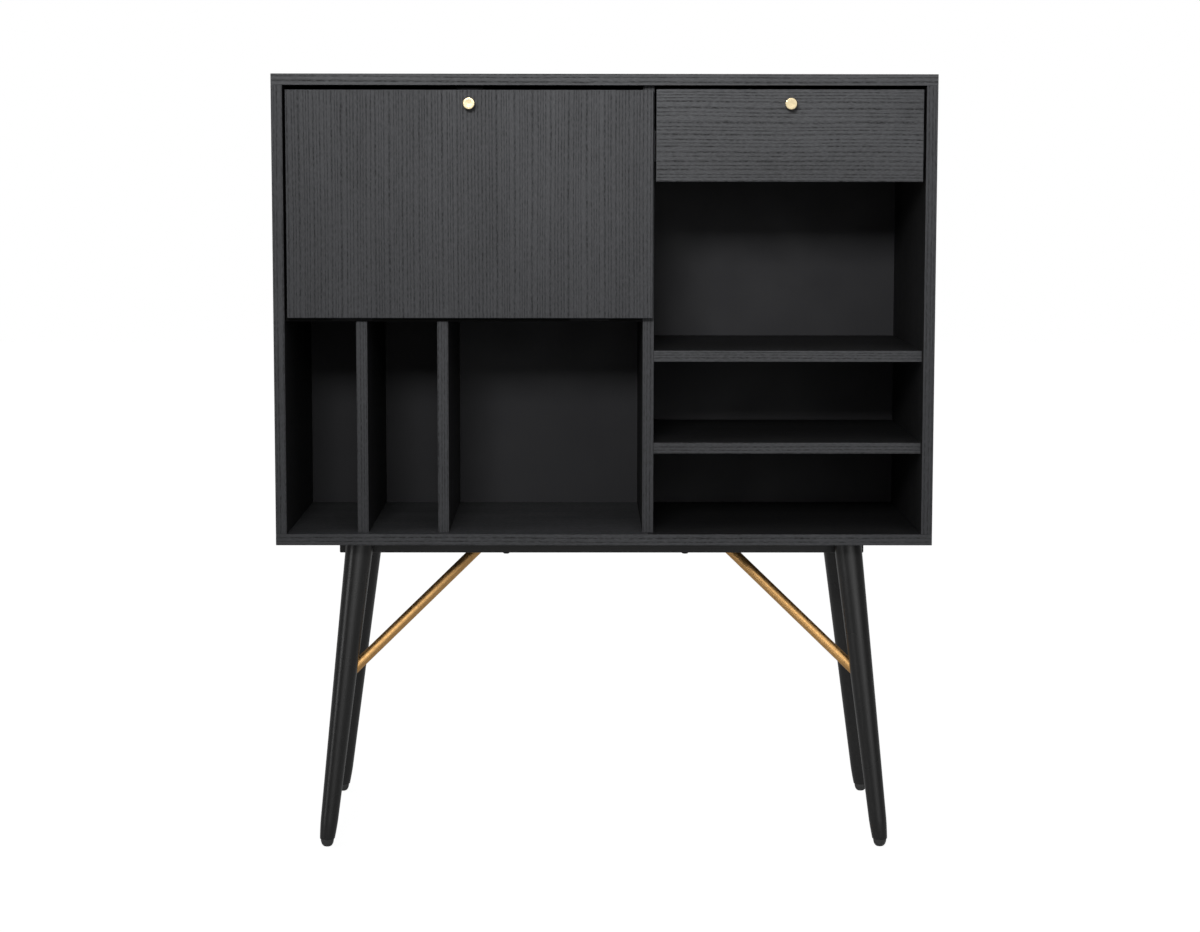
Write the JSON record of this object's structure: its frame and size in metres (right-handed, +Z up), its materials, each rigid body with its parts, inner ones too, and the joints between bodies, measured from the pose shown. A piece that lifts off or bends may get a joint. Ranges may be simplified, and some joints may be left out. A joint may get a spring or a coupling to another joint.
{
  "type": "tall sideboard",
  "caption": "Tall dark wooden sideboard with a drop flap, a drawer and open bays, on splayed round legs with brass braces",
  "frame": {"origin": "middle of the bounding box on the floor, under the carcass", "axes": "+X is the viewer's right, the front with the flap and the drawer faces -Y, +Z is up"},
  "size_m": [1, 0.44, 1.185],
  "materials": {
    "dark_stained_veneer": "matte",
    "dark_back_panel": "matte",
    "dark_stained_solid_wood": "satin",
    "pale_wood": "matte",
    "drawer_bottom_board": "matte",
    "satin_brass": "satin",
    "polished_brass": "polished",
    "insert_brass": "satin",
    "zinc_steel": "satin",
    "black_steel": "satin",
    "magnet_metal": "satin",
    "black_plastic": "matte",
    "grey_nylon": "matte",
    "white_nylon": "matte"
  },
  "bodies": {
    "carcass": {"top_board": "dark_stained_veneer", "bottom_board": "dark_stained_veneer", "left_side_panel": "dark_stained_veneer", "right_side_panel": "dark_stained_veneer", "back_panel": "dark_back_panel", "middle_upright": "dark_stained_veneer", "compartment_floor": "dark_stained_veneer", "outer_divider": "dark_stained_veneer", "inner_divider": "dark_stained_veneer", "upper_shelf": "dark_stained_veneer", "lower_shelf": "dark_stained_veneer", "carcass_dowels": "pale_wood", "divider_dowels": "pale_wood", "shelf_dowels": "pale_wood", "front_left_leg": "dark_stained_solid_wood", "front_right_leg": "dark_stained_solid_wood", "rear_left_leg": "dark_stained_solid_wood", "rear_right_leg": "dark_stained_solid_wood", "leg_inserts": "insert_brass", "leg_bolts": "zinc_steel", "leg_side_screws": "zinc_steel", "foot_glides": "grey_nylon", "front_rail": "dark_stained_solid_wood", "rear_rail": "dark_stained_solid_wood", "rail_screws": "black_steel", "left_brace": "polished_brass", "right_brace": "polished_brass", "brace_screws": "polished_brass", "floor_hinge_leaves": "black_steel", "hinge_pins": "black_steel", "catch_housing": "black_plastic", "catch_magnet": "magnet_metal", "catch_screws": "black_steel", "stay_guide_plates": "zinc_steel", "cabinet_fitting_screws": "black_steel", "runner_cabinet_members": "black_steel", "runner_cabinet_screws": "black_steel"},
    "flap": {"flap_door": "dark_stained_veneer", "flap_hinge_leaves": "black_steel", "flap_knob": "satin_brass", "flap_knob_screw": "zinc_steel", "flap_fitting_screws": "black_steel", "strike_plate": "black_steel", "stay_brackets": "zinc_steel"},
    "stay_rods": {"stay_rods": "zinc_steel"},
    "stay_guides": {"stay_guide_blocks": "white_nylon"},
    "drawer": {"drawer_front": "dark_stained_veneer", "drawer_box_front": "pale_wood", "drawer_left_side": "pale_wood", "drawer_right_side": "pale_wood", "drawer_back": "pale_wood", "drawer_bottom": "drawer_bottom_board", "drawer_dowels": "pale_wood", "drawer_front_screws": "zinc_steel", "drawer_knob": "satin_brass", "drawer_knob_screw": "zinc_steel", "runner_drawer_members": "black_steel", "runner_drawer_screws": "black_steel"},
    "runner_middles": {"runner_middle_members": "black_steel"}
  },
  "joints": [
    {"name": "flap_hinge", "type": "hinge", "parent": "carcass", "child": "flap", "pos_m": [0, -0.1852, 0.823], "axis": [1, 0, 0], "range_deg": [0, 90]},
    {"name": "stay_rod_swing", "type": "hinge", "parent": "flap", "child": "stay_rods", "pos_m": [0, -0.1735, 1.02302], "axis": [1, 0, 0], "range_deg": [-45, 0]},
    {"name": "stay_guide_swing", "type": "hinge", "parent": "carcass", "child": "stay_guides", "pos_m": [0, -0.05113, 0.9719], "axis": [1, 0, 0], "range_deg": [0, 45]},
    {"name": "drawer_slide", "type": "slide", "parent": "carcass", "child": "drawer", "axis": [0, -1, 0], "range_m": [0, 0.32]},
    {"name": "runner_middle_slide", "type": "slide", "parent": "carcass", "child": "runner_middles", "axis": [0, -1, 0], "range_m": [0, 0.16]}
  ],
  "couplings": [
    {"joint": "stay_rod_swing", "follows": "flap_hinge", "ratio": -0.5},
    {"joint": "stay_guide_swing", "follows": "flap_hinge", "ratio": 0.5},
    {"joint": "runner_middle_slide", "follows": "drawer_slide", "ratio": 0.5}
  ]
}
